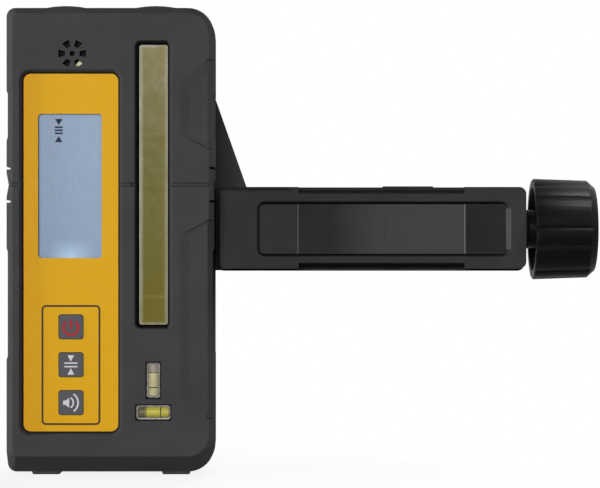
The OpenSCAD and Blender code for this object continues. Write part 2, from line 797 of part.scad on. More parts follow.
// Slotted pan-head screw along +Y, its head's top at y = 0
module screw(r, len, head_r, head_t) difference() {
    union() {
        rod_y(-head_t, 0, head_r);
        rod_y(-head_t - len, -head_t, r);
    }
    translate([-head_r - overrun, -screw_slot_depth, -screw_slot_w / 2])
        cube([2 * head_r + 2 * overrun, screw_slot_depth + overrun, screw_slot_w]);
}

module housing_screws() color(steel) in_case() for (p = case_screw_points())
    translate([p[0], back_y - counterbore_depth + case_screw_head_t, p[1]])
        screw(case_screw_r, case_screw_len, case_screw_head_r, case_screw_head_t);

module keypad_overlay() color(overlay_yellow) in_case()
    slab(front_y + overlay_sink, front_y + pocket_depth) difference() {
        translate([overlay_x, overlay_z]) rounded_rect(overlay_w, overlay_h, overlay_r);
        translate([display_x, display_z]) rounded_rect(display_w, display_h, display_r);
        for (place = [-1 : 1]) translate([overlay_x, key_z(place)])
            rounded_rect(key_size + 2 * key_gap, key_size + 2 * key_gap, key_r);
    }

module display_lens() color([0.62, 0.7, 0.8, 0.5]) in_case() at_xz(display_x, display_z)
    slab(front_y + pocket_depth, front_in_y)
        rounded_rect(display_w - 2 * fit, display_h - 2 * fit, display_r);

module lcd_panel() color([0.58, 0.65, 0.74]) in_case() at_xz(display_x, display_z)
    slab(front_in_y, front_in_y + lcd_t)
        square([display_w + 2 * lcd_border, display_h + 2 * lcd_border], center = true);

module lcd_backlight() color("white") in_case() at_xz(display_x, display_z)
    slab(front_in_y + lcd_t, front_in_y + lcd_t + backlight_t)
        square([display_w + lcd_border, display_h + lcd_border], center = true);

// Square rubber key with the flange that holds it behind the front wall
module key(place) color(key_grey) in_case() at_xz(overlay_x, key_z(place)) {
    slab(key_front_y, key_flange_y) rounded_rect(key_size, key_size, key_r);
    slab(key_flange_y, key_flange_y + key_flange_t)
        rounded_rect(key_size + 2 * key_flange, key_size + 2 * key_flange, key_r);
}

module power_key() key(1);
module deadband_key() key(0);
module volume_key() key(-1);

module key_switches() color("dimgray") in_case() for (place = [-1 : 1]) at_xz(overlay_x, key_z(place)) {
    slab(board_y - switch_body_t, board_y) square(switch_size, center = true);
    rod_y(key_flange_y + key_flange_t + key_travel + switch_slack, board_y - switch_body_t, plunger_r);
}

module main_board() color(board_green) in_case() difference() {
    at_xz(overlay_x, overlay_z) slab(board_y, board_back_y) square([board_w, board_h], center = true);
    for (p = board_screw_points()) at_xz(p[0], p[1])
        rod_y(board_y - overrun, board_back_y + overrun, board_screw_r + fit);
}

module board_screws() color(steel) in_case() for (p = board_screw_points())
    translate([p[0], board_back_y + board_screw_head_t, p[1]])
        screw(board_screw_r, board_screw_len, board_screw_head_r, board_screw_head_t);

// Round sounder with its port towards the front wall
module sounder() color(rubber_black) in_case() at_xz(sounder_x, sounder_z) difference() {
    rod_y(front_in_y + membrane_t, front_in_y + sounder_t, sounder_r);
    rod_y(front_in_y, front_in_y + membrane_t + sounder_port_depth, sounder_port_r);
}

module sounder_membrane() color("gainsboro") in_case() at_xz(sounder_x, sounder_z)
    rod_y(front_in_y, front_in_y + membrane_t, sounder_r);

module receiving_lens() color([0.62, 0.58, 0.36, 0.7]) in_case() at_xz(lens_offset, grade_z) {
    slab(front_y + lens_sink, front_in_y) rounded_rect(lens_w, lens_h, lens_r);
    slab(front_in_y, guide_y) rounded_rect(lens_w + 2 * lens_flange, lens_h + 2 * lens_flange, lens_r);
}

module light_guide() color([0.5, 0.46, 0.14]) in_case() at_xz(lens_offset, grade_z)
    slab(guide_y, diode_y) square([lens_w - 2 * guide_inset, lens_h - 2 * guide_end_inset], center = true);

module photodiodes() color("black") in_case() for (place = [0 : diode_count - 1])
    at_xz(lens_offset, diode_z(place)) slab(diode_y, detector_y) square([diode_w, diode_h], center = true);

module detector_board() color(board_green) in_case() at_xz(lens_offset, grade_z)
    slab(detector_y, detector_y + detector_t) square([detector_w, lens_h], center = true);

// Clear blocks of the vials, in the front wall's openings and the carrier's pockets
module upright_vial_outline(grow) translate([lens_offset, upright_vial_z])
    rounded_rect(upright_vial_w + 2 * grow, upright_vial_len + 2 * grow, vial_r + grow);
module cross_vial_outline(grow) translate([lens_offset, cross_vial_z])
    rounded_rect(cross_vial_len + 2 * grow, cross_vial_w + 2 * grow, vial_r + grow);

module upright_vial() color([0.85, 0.85, 0.5, 0.7]) in_case()
    slab(front_y + vial_sink, vial_back_y) upright_vial_outline(0);
module cross_vial() color([0.8, 0.78, 0.35, 0.7]) in_case()
    slab(front_y + vial_sink, vial_back_y) cross_vial_outline(0);

// White block behind the front wall that holds both vials in its pockets
module vial_carrier() color("white") in_case() difference() {
    carrier_w = cross_vial_len + 2 * carrier_border;
    low_z = cross_vial_z - cross_vial_w / 2 - carrier_border;
    high_z = upright_vial_z + upright_vial_len / 2 + carrier_border;
    translate([lens_offset - carrier_w / 2, front_in_y, low_z])
        cube([carrier_w, carrier_t, high_z - low_z]);
    slab(front_in_y - overrun, vial_back_y + fit) {
        upright_vial_outline(fit);
        cross_vial_outline(fit);
    }
}

module battery_place(place) translate([0, bay_floor_y + bay_gap + battery_d / 2, battery_z(place)])
    mirror([place, 0, 0]) children();

module batteries() color([0.2, 0.2, 0.22]) in_case() for (place = [0, 1]) battery_place(place) {
    rod_x(-battery_len / 2, battery_len / 2 - battery_cap_len, battery_d / 2);
    rod_x(battery_len / 2 - battery_cap_len, battery_len / 2, battery_cap_r);
}

// Plate on the end wall of the bay with a pressed boss that reaches the battery
module battery_contact() {
    translate([bay_w / 2 - contact_t, -contact_w / 2, -contact_w / 2])
        cube([contact_t, contact_w, contact_w]);
    rod_x(battery_len / 2, bay_w / 2 - contact_t, contact_boss_r);
}

module battery_contacts() color(steel) in_case() for (place = [0, 1], side = [0, 1])
    battery_place(place) mirror([side, 0, 0]) battery_contact();

module battery_door() color(case_colour) in_case() difference() {
    union() {
        slab(back_y - door_t, back_y) door_outline(0);
        translate([0, hinge_y, hinge_z]) rod_x(-barrel_len / 2, barrel_len / 2, hinge_r);
        translate([-barrel_len / 2, back_y - door_t, hinge_z])
            cube([barrel_len, door_t - 2 * fit, door_bottom_z - hinge_z + door_r]);
    }
    translate([0, hinge_y, hinge_z]) rod_x(-barrel_len, barrel_len, hinge_pin_r + fit);
    slab(back_y - door_t - overrun, door_seal_y) door_seal_outline(fit);
}

module door_seal_outline(gap) difference() {
    seal_mid_z = (bay_bottom_z + bay_top_z) / 2;
    grow = 2 * (door_seal_inset + door_seal_w + gap);
    shrink = 2 * (door_seal_inset - gap);
    translate([0, seal_mid_z]) rounded_rect(bay_w + grow, bay_h + grow, door_r);
    translate([0, seal_mid_z]) rounded_rect(bay_w + shrink, bay_h + shrink, door_r / 2);
}

module door_seal() color(rubber_black) in_case()
    slab(door_seal_y - door_seal_t, door_seal_y) door_seal_outline(0);

module door_hinge_pin() color(steel) in_case() translate([0, hinge_y, hinge_z])
    rod_x(-hinge_pin_half, hinge_pin_half, hinge_pin_r);

module mount_insert() color(brass) in_case() at_xz(mount_offset, mount_case_z) difference() {
    rod_y(back_y - insert_len, back_y, insert_r);
    rod_y(back_y - insert_len - overrun, back_y + overrun, mount_screw_r + fit);
}

// Clamp frame: the arm, the fixed jaw, and the bracket behind the case
module arm_form() {
    slab(-arm_d, -arm_lip_depth + fit)
        sided_rect(arm_left_x, arm_right_x, arm_lip - arm_h, 0, arm_corner_r / 2, arm_corner_r);
    slab(-arm_lip_depth, 0) sided_rect(arm_left_x, arm_right_x, -arm_h, 0, arm_corner_r / 2, arm_corner_r);
}

module jaw_outline(toe_w, heel_w, y0, y1) polygon([
    [0, y0], [heel_w, y0], [heel_w, jaw_heel_depth], [toe_w, y1 - jaw_corner],
    [toe_w - jaw_corner, y1], [0, y1]
]);

module fixed_jaw_form() translate([-pad_t, 0, -arm_h]) mirror([1, 0, 0])
    linear_extrude(height = arm_h) jaw_outline(jaw_toe_w, fixed_jaw_w, -overrun, jaw_depth);

module bracket_form() slab(bracket_y, bracket_y + bracket_t) polygon([
    [bracket_left_x, bracket_corner - arm_h], [bracket_left_x + bracket_corner, -arm_h],
    [gusset_foot_x, -arm_h], [gusset_foot_x, 0], [gusset_top_x, bracket_rise],
    [bracket_left_x + bracket_corner, bracket_rise], [bracket_left_x, bracket_rise - bracket_corner]
]);

// Long chamfers along the arm's front edges, as far as the jaw travels
module arm_edge_chamfers() bar(channel_left_x, slot_right_x) {
    polygon([
        [-arm_d - overrun, overrun], [-arm_d - overrun, -edge_chamfer_h], [-arm_d, -edge_chamfer_h],
        [edge_chamfer_depth - arm_d, 0], [edge_chamfer_depth - arm_d, overrun]
    ]);
    translate([0, arm_lip - arm_h]) polygon([
        [-arm_d - overrun, -overrun], [-arm_d - overrun, edge_chamfer_h], [-arm_d, edge_chamfer_h],
        [edge_chamfer_depth - arm_d, 0], [edge_chamfer_depth - arm_d, -overrun]
    ]);
}

module arm_window(x0, x1, half_h, y0, y1) translate([x0, y0, arm_axis_z - half_h])
    cube([x1 - x0, y1 - y0, 2 * half_h]);

module recess_outline(grow) rounded_rect(
    recess_right_x - recess_left_x + 2 * grow, recess_h + 2 * grow, recess_r + grow, $fn = corner_facets);

module arm_hollows() {
    at_xz(recess_mid_x, arm_axis_z) hull() {
        slab(-arm_d - skin, -arm_d) recess_outline(recess_slope);
        slab(-arm_d + recess_t - skin, -arm_d + recess_t) recess_outline(0);
    }
    arm_window(cover_left_x - fit, cover_right_x + fit, recess_h / 2, -arm_d, cover_back_y);
    arm_window(cover_left_x + cover_ledge, cover_right_x - cover_ledge, recess_h / 2 - cover_ledge,
        -arm_d, channel_front_y + overrun);
    arm_window(channel_left_x, channel_right_x, channel_half_h, channel_front_y, -rear_wall);
    arm_window(channel_left_x, slot_right_x, slot_half_h, -rear_wall - overrun, overrun);
    on_axis() {
        rod_x(channel_left_x - end_journal_len - run, channel_left_x + overrun, end_journal_r + journal_gap);
        rod_x(channel_right_x - overrun, arm_right_x + overrun, bush_r + journal_gap);
    }
}

module clamp_frame() color(black_plastic) difference() {
    union() {
        arm_form();
        fixed_jaw_form();
        bracket_form();
        at_mount() rod_y(bracket_y, mount_seat_y, mount_boss_r);
        for (z = peg_places()) at_xz(mount_x, z)
            rod_y(bracket_y - bracket_gap - peg_len, bracket_y + bracket_t, peg_r);
    }
    arm_edge_chamfers();
    arm_hollows();
    at_mount() {
        rod_y(bracket_y - overrun, bracket_y + clip_pocket_depth, clip_pocket_r);
        rod_y(bracket_y, mount_seat_y + overrun, mount_screw_r + run);
    }
}

// Cover strip in the arm's front recess, with chamfered ends
module arm_cover() color(black_plastic) translate([0, 0, arm_axis_z - recess_h / 2 + fit])
    linear_extrude(height = recess_h - 2 * fit) polygon([
        [cover_left_x, cover_back_y], [cover_right_x, cover_back_y],
        [cover_right_x, cover_front_y + cover_edge], [cover_right_x - cover_edge, cover_front_y],
        [cover_left_x + cover_edge, cover_front_y], [cover_left_x, cover_front_y + cover_edge]
    ]);

// Ribbed rubber pad whose gripping face lies at x = 0 and whose back faces -X
module jaw_pad(y0, z0, z1) difference() {
    translate([-pad_t, y0, z0]) cube([pad_t, jaw_depth - y0, z1 - z0]);
    for (groove = [1 : pad_grooves])
        translate([0, 0, z0 + groove * (z1 - z0) / (pad_grooves + 1) - pad_groove_w / 2])
            translate([-pad_groove_depth, y0 - overrun, 0])
                cube([pad_groove_depth + overrun, jaw_depth - y0 + 2 * overrun, pad_groove_w]);
}

module fixed_jaw_pad() color(rubber_black) jaw_pad(0, -arm_h, 0);

module moving_jaw_pad() color(rubber_black) translate([jaw_opening, 0, 0]) mirror([1, 0, 0])
    jaw_pad(run, -arm_h, jaw_rise - jaw_corner);

// Moving jaw: the plate behind the arm, its neck through the slot and the nut in the channel
module moving_jaw() color(black_plastic) difference() {
    translate([jaw_x, 0, 0]) union() {
        difference() {
            translate([0, 0, -arm_h]) linear_extrude(height = arm_h + jaw_rise)
                jaw_outline(jaw_toe_w, jaw_w, run, jaw_depth);
            translate([jaw_w, 0, jaw_rise]) rotate([0, 45, 0])
                cube([jaw_corner, 4 * jaw_depth, jaw_corner], center = true);
        }
        translate([0, -rear_wall - run - overrun, arm_axis_z - slot_half_h + run])
            cube([jaw_w, rear_wall + 2 * run + 2 * overrun, 2 * slot_half_h - 2 * run]);
        translate([0, channel_front_y + run, arm_axis_z - channel_half_h + run])
            cube([jaw_w, -rear_wall - channel_front_y - 2 * run, 2 * channel_half_h - 2 * run]);
    }
    on_axis() rod_x(jaw_x - overrun, jaw_x + jaw_w + overrun, spindle_r + fit);
}

module clamp_spindle() color(spindle_grey) on_axis() difference() {
    union() {
        rod_x(channel_left_x - end_journal_len, channel_left_x + run, end_journal_r);
        rod_x(channel_left_x + run, channel_right_x - run, spindle_r);
        rod_x(channel_right_x - run, spindle_end_x, journal_r);
    }
    cross_pin(4 * hub_r, knob_pin_r + journal_gap);
}

// Cross pin through the knob's hub and the spindle
module cross_pin(len, r) translate([knob_pin_x, 0, 0]) cylinder(h = len, r = r, center = true);

module spindle_bush() color(black_plastic) on_axis() difference() {
    union() {
        rod_x(channel_right_x, arm_right_x, bush_r);
        rod_x(arm_right_x, arm_right_x + bush_flange_t, bush_flange_r);
    }
    rod_x(channel_right_x - overrun, arm_right_x + bush_flange_t + overrun, journal_r + journal_gap);
}

// Knob: a lobed cup, open towards the arm, round a hub that the cross pin holds to the spindle
module clamp_knob() color(knob_black) on_axis() difference() {
    union() {
        difference() {
            intersection() {
                translate([knob_left_x, 0, 0]) rotate([0, 90, 0]) rotate(knob_roll)
                    linear_extrude(height = knob_len, scale = knob_end_r / knob_r)
                        polygon(lobe_points(knob_r, knob_lobes, knob_lobe_depth));
                translate([knob_left_x, 0, 0]) rotate([0, 90, 0]) rotate_extrude() polygon([
                    [0, 0], [knob_r - knob_edge / 2, 0], [knob_r, knob_edge / 2],
                    [knob_r, knob_len - 3 * knob_edge], [knob_end_r - 2 * knob_edge, knob_len], [0, knob_len]
                ]);
            }
            rod_x(knob_left_x - overrun, knob_right_x - knob_cap_t, knob_end_r - knob_wall);
        }
        rod_x(hub_face_x, knob_right_x - knob_cap_t / 2, hub_r);
    }
    rod_x(hub_face_x - overrun, spindle_end_x, journal_r + journal_gap);
    cross_pin(2 * hub_r + overrun, knob_pin_r + journal_gap);
}

module knob_pin() color(steel) on_axis() cross_pin(2 * hub_r, knob_pin_r);

module mounting_screw() color(steel) at_mount()
    rod_y(mount_screw_tip_y, mount_seat_y + fit + mount_knob_t - mount_knob_floor, mount_screw_r);

module mounting_knob() color(knob_black) at_mount() difference() {
    slab(mount_seat_y + fit, mount_seat_y + fit + mount_knob_t)
        polygon(lobe_points(mount_knob_r, mount_lobes * 2, mount_lobe_depth));
    rod_y(mount_seat_y, mount_seat_y + fit + mount_knob_t - mount_knob_floor, mount_screw_r + journal_gap);
}

module screw_clip() color(steel) at_mount() difference() {
    rod_y(bracket_y + run, bracket_y + run + clip_t, clip_r);
    rod_y(bracket_y - overrun, bracket_y + run + clip_t + overrun, mount_screw_r + journal_gap);
}

front_housing();
rear_housing();
housing_seal();
housing_screws();
keypad_overlay();
display_lens();
lcd_panel();
lcd_backlight();
power_key();
deadband_key();
volume_key();
key_switches();
main_board();
board_screws();
sounder();
sounder_membrane();
receiving_lens();
light_guide();
photodiodes();
detector_board();
upright_vial();
cross_vial();
vial_carrier();
batteries();
battery_contacts();
battery_door();
door_seal();
door_hinge_pin();
mount_insert();
clamp_frame();
arm_cover();
fixed_jaw_pad();
moving_jaw();
moving_jaw_pad();
clamp_spindle();
spindle_bush();
clamp_knob();
knob_pin();
mounting_screw();
mounting_knob();
screw_clip();
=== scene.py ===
"""Looks of the laser receiver on its rod clamp: finishes, printed marks, vials, stage, lamps and camera."""
import math

import bmesh
import bpy
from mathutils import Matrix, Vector


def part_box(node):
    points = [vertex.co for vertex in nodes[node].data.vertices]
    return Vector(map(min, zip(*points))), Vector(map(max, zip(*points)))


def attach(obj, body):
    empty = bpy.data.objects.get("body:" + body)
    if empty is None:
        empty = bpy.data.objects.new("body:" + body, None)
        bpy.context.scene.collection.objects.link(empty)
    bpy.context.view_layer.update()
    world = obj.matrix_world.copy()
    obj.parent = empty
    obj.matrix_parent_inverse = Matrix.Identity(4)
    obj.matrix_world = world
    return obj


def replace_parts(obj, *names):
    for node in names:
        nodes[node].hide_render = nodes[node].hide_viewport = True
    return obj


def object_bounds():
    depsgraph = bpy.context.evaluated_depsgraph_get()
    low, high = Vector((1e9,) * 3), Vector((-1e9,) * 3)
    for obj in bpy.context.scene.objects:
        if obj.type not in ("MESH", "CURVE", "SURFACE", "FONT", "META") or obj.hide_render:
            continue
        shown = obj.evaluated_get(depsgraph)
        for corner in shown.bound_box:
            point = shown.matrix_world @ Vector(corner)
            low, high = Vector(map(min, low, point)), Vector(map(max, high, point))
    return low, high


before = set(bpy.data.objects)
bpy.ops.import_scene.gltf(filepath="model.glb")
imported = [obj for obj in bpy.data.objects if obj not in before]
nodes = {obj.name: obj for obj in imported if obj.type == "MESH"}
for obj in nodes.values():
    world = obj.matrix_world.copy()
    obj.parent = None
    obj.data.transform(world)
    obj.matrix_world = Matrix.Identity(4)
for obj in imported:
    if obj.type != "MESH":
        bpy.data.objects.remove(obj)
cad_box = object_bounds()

MM = 0.001
# Near-black colour painted as shade on walls, in recesses and in inner corners
PAINTED_SHADE = (0.002, 0.002, 0.002, 1)
# Values that most of a noise texture lies between
NOISE = (0.3, 0.7)
VIALS = ("upright_vial", "cross_vial")
scene = bpy.context.scene
scene.view_settings.view_transform = "Standard"


def srgb(r, g, b):
    """Linear colour of 8-bit sRGB values."""
    def linear(v):
        v /= 255
        return v / 12.92 if v <= 0.04045 else ((v + 0.055) / 1.055) ** 2.4
    return (linear(r), linear(g), linear(b), 1)


def grey(v):
    return srgb(v, v, v)


def extent(node):
    """Middle and size of a CAD node at rest, in millimetres."""
    low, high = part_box(node)
    return (low + high) / (2 * MM), (high - low) / MM


def front(node):
    """Foremost place of a CAD node along Y, in millimetres."""
    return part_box(node)[0].y / MM


class Finish:
    """One material's nodes, with short calls for what the finishes share. Lengths are in millimetres."""

    def __init__(self, name, colour, rough, specular, metal=0.0):
        self.material = bpy.data.materials.new(name)
        self.material.use_nodes = True
        self.tree = self.material.node_tree
        self.shader = self.tree.nodes["Principled BSDF"]
        self.place = self.add("TexCoord").node.outputs["Object"]
        self.set("Base Color", colour)
        self.set("Roughness", rough)
        self.set("Specular IOR Level", specular)
        self.set("Metallic", metal)
        self.colour = colour
        self.rough = rough
        self.height = None

    def add(self, kind, values=(), out=0, **props):
        """Adds a shader node with values or links on its inputs, and gives one of its outputs."""
        node = self.tree.nodes.new("ShaderNode" + kind)
        for key, value in props.items():
            setattr(node, key, value)
        for key, value in (values.items() if isinstance(values, dict) else enumerate(values)):
            if isinstance(value, bpy.types.NodeSocket):
                self.tree.links.new(value, node.inputs[key])
            else:
                node.inputs[key].default_value = value
        return node.outputs[out]

    def set(self, socket, value):
        """Puts a value or a link on one of the shader's own sockets."""
        if isinstance(value, bpy.types.NodeSocket):
            self.tree.links.new(value, self.shader.inputs[socket])
        else:
            self.shader.inputs[socket].default_value = value

    def math(self, operation, a, b=0.0):
        return self.add("Math", (a, b), operation=operation)

    def times(self, share, *others):
        """Product of masks and numbers."""
        for other in others:
            share = self.math("MULTIPLY", share, other)
        return share

    def fit(self, value, low, high, out_low=0.0, out_high=1.0):
        """Maps low to high onto an output range and stays within it."""
        return self.add("MapRange", (value, low, high, out_low, out_high))

    def axis(self, name):
        """One object coordinate, in millimetres."""
        return self.math("MULTIPLY", self.add("SeparateXYZ", (self.place,), out="XYZ".index(name)), 1 / MM)

    def off(self, name, place):
        """Distance from a place along one axis."""
        return self.math("ABSOLUTE", self.math("SUBTRACT", self.axis(name), place))

    def near(self, name, place, reach, fade):
        """1 within a reach of a place along one axis, falling to 0 over the fade beyond it."""
        return self.fit(self.off(name, place), reach + fade, reach)

    def noise(self, size, detail=2.0, stretch=(1, 1, 1)):
        place = self.add("VectorMath", (self.place, stretch), operation="MULTIPLY")
        return self.add("TexNoise", {"Vector": place, "Scale": 1 / (size * MM), "Detail": detail})

    def mix(self, share, a, b, blend="MIX"):
        return self.add("Mix", {0: share, 6: a, 7: b}, out=2, data_type="RGBA", blend_type=blend)

    def paint(self, share, colour, blend="MIX"):
        """Lays a colour over what the finish has so far."""
        self.colour = self.mix(share, self.colour, colour, blend)
        self.set("Base Color", self.colour)

    def mottle(self, size, amount):
        """Slow change of shade over the surface."""
        tone = self.fit(self.noise(size, 3.0), *NOISE, 1 - amount, 1 + amount)
        self.paint(1.0, self.add("CombineColor", (tone, tone, tone)), "MULTIPLY")

    def gloss(self, size, spread, stretch=(1, 1, 1)):
        """Uneven roughness."""
        low, high = self.rough - spread, self.rough + spread
        self.set("Roughness", self.fit(self.noise(size, 3.0, stretch), *NOISE, low, high))

    def raise_by(self, height, depth):
        """Adds a height in shares of a depth to the relief of the surface."""
        scaled = self.math("MULTIPLY", height, depth)
        self.height = scaled if self.height is None else self.math("ADD", self.height, scaled)

    def relief(self):
        """Turns the heights added so far into bump."""
        self.set("Normal", self.add("Bump", {"Strength": 1.0, "Distance": MM, "Height": self.height}))

    def edges(self, radius):
        """1 along sharp edges, 0 on open faces."""
        soft = self.add("Bevel", {"Radius": radius * MM})
        flat = self.add("NewGeometry", out=1)
        turn = self.add("VectorMath", (soft, flat), operation="DOT_PRODUCT", out=1)
        return self.fit(turn, 0.995, 0.93)

    def wear(self, colour, amount, radius=0.45):
        """Edges rubbed pale in patches."""
        patches = self.fit(self.noise(6, 4.0), 0.35, 0.7)
        self.paint(self.times(self.edges(radius), patches, amount), colour)

    def corner_shade(self, reach, amount):
        """Painted shade in inner corners, found by ambient occlusion."""
        free = self.add("AmbientOcclusion", {"Distance": reach * MM}, out=1, samples=8)
        self.paint(self.fit(free, 0.85, 0.5, 0, amount), PAINTED_SHADE)

    def specks(self, colour, size, amount):
        """Sparse dust."""
        dots = self.add("TexVoronoi", {"Vector": self.place, "Scale": 1 / (size * MM)})
        self.paint(self.times(self.fit(dots, 0.10, 0.05), amount), colour)


def moulded(name, colour, rough, specular, grain, depth, shade=0.08, worn=0.3, form=None):
    """Moulded plastic or rubber: grained, unevenly glossy, a little mottled and rubbed along its edges.
    form adds to the finish before its relief is set."""
    f = Finish(name, colour, rough, specular)
    pale = tuple(0.25 * c + 0.09 for c in colour[:3]) + (1,)
    f.mottle(size=14, amount=shade)
    f.specks(pale, size=7, amount=0.05)
    f.wear(pale, worn)
    f.gloss(size=5, spread=0.06)
    f.raise_by(f.noise(grain, 3.0), depth)
    if form:
        form(f)
    f.relief()
    return f


def metal(name, colour, rough, stretch=(1, 1, 1), form=None):
    """Bare metal with a fine grain. form adds to the finish before its relief is set."""
    f = Finish(name, colour, rough, specular=0.5, metal=1.0)
    f.mottle(size=4, amount=0.08)
    f.gloss(size=0.5, spread=0.1, stretch=stretch)
    f.raise_by(f.noise(0.25, 2.0, stretch), 0.004)
    if form:
        form(f)
    f.relief()
    return f


def case_form(f):
    """Case: painted shade on the walls round the overlay and the receiving lens, on the rims of the vials' openings
    and in inner corners. The right wall of the lens's window has less of it."""
    mid, size = extent("front_housing")
    lens, glass = extent("receiving_lens")
    face = front("front_housing")
    lens_left, lens_right = lens.x - glass.x / 2, lens.x + glass.x / 2
    side, depth = f.axis("X"), f.axis("Y")
    pocket_depth, fade, rim = 8, 0.4, 0.3
    pockets = f.fit(depth, face + pocket_depth + 1, face + pocket_depth)

    # Painted shade on the walls from the overlay's left edge to the right side of the lens's window
    left, right = mid.x - size.x / 2 + 3.6, lens_right + 0.8
    walls = f.times(f.fit(side, left - fade, left), f.fit(side, right + fade, right),
                    f.near("Z", mid.z, size.z / 2 - 11, fade=1))
    f.paint(f.times(walls, f.fit(depth, face + 0.9, face + 2.3, 0, 0.85), pockets), PAINTED_SHADE)

    # Painted shade on the left, top and bottom walls of the lens's window
    left, right = lens_left - 1.4, lens_right - 1.6
    window = f.times(f.fit(side, left - fade, left), f.fit(side, right + 0.3, right),
                     f.near("Z", lens.z, glass.z / 2 + 1.6, fade))
    f.paint(f.times(window, f.fit(depth, face + 0.15, face + 1, 0, 0.75), pockets), PAINTED_SHADE)

    # Painted shade in a thin line round each vial's opening
    for name in VIALS:
        vial, body = extent(name)
        around = f.times(f.near("X", vial.x, body.x / 2 + rim, fade=rim),
                         f.near("Z", vial.z, body.z / 2 + rim, fade=rim))
        f.paint(f.times(around, pockets, 0.8), PAINTED_SHADE)
    # Painted shade in inner corners
    f.corner_shade(reach=0.8, amount=0.8)


def clamp_form(f):
    """Clamp: painted shade on the walls and the bed of the arm's recess and in bands along the arm's edges, a
    painted highlight on the recess's right end wall and a gusset painted paler, as if more light fell on it.
    Heights count from the arm's top edge, at the frame's origin."""
    mid, size = extent("arm_cover")
    half_w, half_h = size.x / 2, size.z / 2
    cover_left, cover_right = mid.x - half_w, mid.x + half_w
    face = front("clamp_frame")
    arm_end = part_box("clamp_frame")[1].x / MM
    along, depth, up, height = f.axis("X"), f.axis("Y"), f.axis("Z"), f.off("Z", mid.z)
    recess_depth = 5
    ahead = f.fit(depth, face + recess_depth + 1, face + recess_depth)

    # Painted shade on the walls of the recess above and below the cover
    wall = f.times(f.fit(height, half_h - 0.2, half_h + 0.1), f.fit(height, half_h + 1.4, half_h + 1.2))
    f.paint(f.times(wall, f.fit(depth, face + 0.4, face + 1.8, 0, 0.85), ahead), PAINTED_SHADE)

    # Painted shade in bands along the arm's top and bottom edges
    top_by_case = f.times(f.fit(up, -1.6, -1.2), f.fit(along, cover_left, cover_left - 4))
    f.paint(f.times(top_by_case, ahead, 0.5), PAINTED_SHADE)
    beside_cover = f.near("X", mid.x, half_w - 0.8, fade=0.4)
    skin = f.fit(depth, face + 3, face + 2.5)
    f.paint(f.times(beside_cover, f.fit(up, -2.6, -2.4), skin), grey(37))
    bottom = f.fit(up, mid.z - half_h - 3.1, mid.z - half_h - 3.4)
    f.paint(f.times(beside_cover, bottom, ahead, 0.6), PAINTED_SHADE)

    # Gusset painted paler, as if more light fell on it
    gusset = f.fit(up, 0.2, 0.6)
    f.paint(gusset, grey(68))

    # Painted shade on the bed of the recess right of the cover, and a painted highlight on the recess's end wall by
    # the arm's end
    bed = f.times(f.fit(along, cover_right - 1, cover_right), f.fit(depth, face + 1, face + 1.3),
                  f.near("Z", mid.z, 8.5, fade=0.5))
    f.paint(f.times(bed, ahead, 0.35), PAINTED_SHADE)
    lit_end_wall = f.times(f.near("X", arm_end - 6.4, 0.7, fade=0.2), f.near("Z", mid.z, 7, fade=1))
    f.paint(f.times(lit_end_wall, ahead), srgb(90, 90, 92))


def cover_form(f):
    """Arm cover: painted paler from its middle on, leaving its left part darker as if in the case's shadow, paler
    at both ends, with the faint sink that the jaw's block leaves.
    """
    mid, size = extent("arm_cover")
    jaw, block = extent("moving_jaw")
    along = f.axis("X")
    # Painted light: paler from the middle on, so that the part nearer the case stays darker as if in its shadow
    f.paint(f.fit(along, mid.x - 0.3 * size.x, mid.x, 0, 0.8), grey(75))
    sink = f.times(f.near("X", jaw.x, block.x / 2 - 0.5, fade=0.5),
                   f.near("Z", mid.z, 0.31 * size.z, fade=0.03 * size.z))
    f.raise_by(sink, -0.15)
    ends = f.mix(f.fit(along, mid.x - 1, mid.x + 1), grey(98), grey(140))
    f.paint(f.fit(f.off("X", mid.x), size.x / 2 - 0.7, size.x / 2 - 0.4, 0, 0.8), ends)


def overlay_finish():
    """Printed film with a velvet grain, a little redder towards its left side."""
    mid = extent("keypad_overlay")[0]
    f = Finish("overlay_finish", srgb(218, 163, 16), rough=0.5, specular=0.08)
    f.paint(f.fit(f.noise(9, 3.0), 0.35, 0.7, 0, 0.5), srgb(220, 168, 20))
    f.paint(f.fit(f.axis("X"), mid.x - 9, mid.x - 17, 0, 0.45), srgb(222, 156, 26))
    f.wear(srgb(226, 178, 70), amount=0.6, radius=0.3)
    f.gloss(size=3, spread=0.05)
    f.raise_by(f.noise(0.18, 2.0), 0.01)
    f.relief()
    return f


def display_finish():
    """Clear window, all but invisible from the front."""
    f = Finish("display_finish", srgb(170, 186, 208), rough=0.14, specular=0.1)
    f.set("Alpha", f.fit(f.noise(20), *NOISE, 0.01, 0.03))
    f.gloss(size=8, spread=0.03)
    return f


def lcd_finish():
    """Grey-blue cell with fine streaks, bluer at its rim, with the backlight's glow low in the middle."""
    mid, size = extent("display_lens")
    half_w, half_h = size.x / 2, size.z / 2
    low = mid.z - half_h
    f = Finish("lcd_finish", srgb(140, 159, 185), rough=0.35, specular=0.1)
    f.mottle(size=3, amount=0.03)
    f.paint(f.fit(f.noise(0.35, 2.0, (1, 1, 0.08)), 0.4, 0.75, 0, 0.3), srgb(154, 173, 198))
    rim = f.math("MAXIMUM", f.fit(f.off("X", mid.x), half_w - 1.8, half_w - 0.3),
                 f.fit(f.off("Z", mid.z), half_h - 1.6, half_h - 0.2))
    f.paint(f.times(rim, 0.5), srgb(122, 155, 198))
    glow = f.times(f.near("X", mid.x, 0.5, fade=8), f.fit(f.axis("Z"), low + 6.5, low))
    f.paint(f.times(glow, 0.9), srgb(186, 218, 250))
    f.raise_by(f.noise(0.3, 2.0, (1, 1, 0.15)), 0.003)
    f.relief()
    return f


